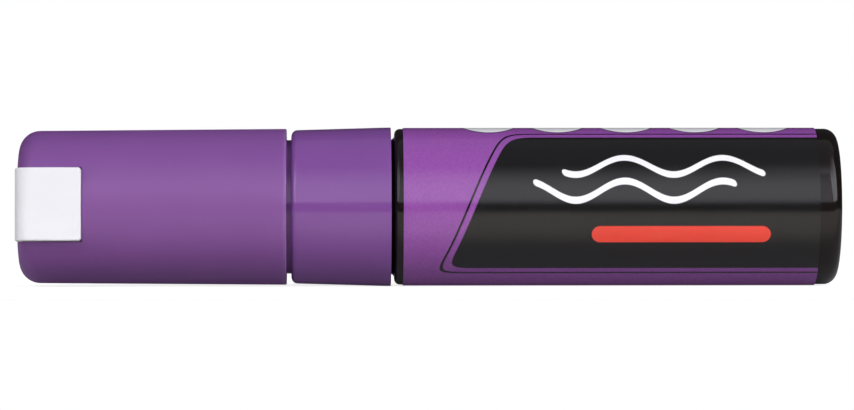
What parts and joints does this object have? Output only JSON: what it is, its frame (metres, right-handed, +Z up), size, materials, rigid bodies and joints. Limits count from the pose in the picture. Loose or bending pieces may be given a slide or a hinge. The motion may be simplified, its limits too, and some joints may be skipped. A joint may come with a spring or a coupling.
{
  "type": "liquid chalk marker",
  "caption": "Broad valve-action liquid chalk marker: black bottle with a wrap label, purple collar and push-on cap with a white end insert, sprung felt nib and loose mixing balls.",
  "frame": {"origin": "middle of the overall length, on the surface the marker lies on, straight under its axis", "axes": "+X along the marker from the cap to the bottle's tail, +Z up, the crown's tab faces -Y"},
  "size_m": [0.1432, 0.0278, 0.0278],
  "materials": {
    "cap_purple": "moulded polypropylene with a fine matt texture",
    "collar_purple": "moulded polypropylene, polished",
    "crown_white": "moulded white plastic, satin",
    "bottle_black": "moulded black plastic, polished",
    "label_film": "printed pearl film, satin",
    "inner_cap_white": "natural polyethylene",
    "holder_black": "moulded black polypropylene",
    "nib_felt": "dense polyester felt",
    "valve_natural": "natural acetal",
    "seal_rubber": "moulded elastomer",
    "stainless_steel": "bright stainless steel"
  },
  "bodies": {
    "barrel": {"bottle": "bottle_black", "label_sleeve": "label_film", "front_section": "collar_purple", "nib_holder": "holder_black", "valve_seat": "valve_natural", "valve_cage": "valve_natural", "valve_spring": "stainless_steel", "neck_gasket": "seal_rubber"},
    "cap": {"cap_shell": "cap_purple", "cap_crown": "crown_white", "inner_cap": "inner_cap_white"},
    "nib_unit": {"nib": "nib_felt", "nib_pusher": "valve_natural", "valve_stem": "valve_natural", "valve_seal": "seal_rubber"},
    "ball_1": {"mixing_ball_1": "stainless_steel"},
    "ball_2": {"mixing_ball_2": "stainless_steel"}
  },
  "joints": [
    {"name": "cap_pull", "type": "slide", "parent": "barrel", "child": "cap", "axis": [-1, 0, 0], "range_m": [0, 0.06]},
    {"name": "nib_press", "type": "slide", "parent": "barrel", "child": "nib_unit", "axis": [1, 0, 0], "range_m": [0, 0.002], "stiffness_N_per_m": 600, "springref_m": -0.004, "deforming": ["valve_spring"]},
    {"name": "ball_1_roll", "type": "slide", "parent": "barrel", "child": "ball_1", "axis": [-1, 0, 0], "range_m": [0, 0.066]},
    {"name": "ball_2_roll", "type": "slide", "parent": "barrel", "child": "ball_2", "axis": [-1, 0, 0], "range_m": [0, 0.066]}
  ]
}
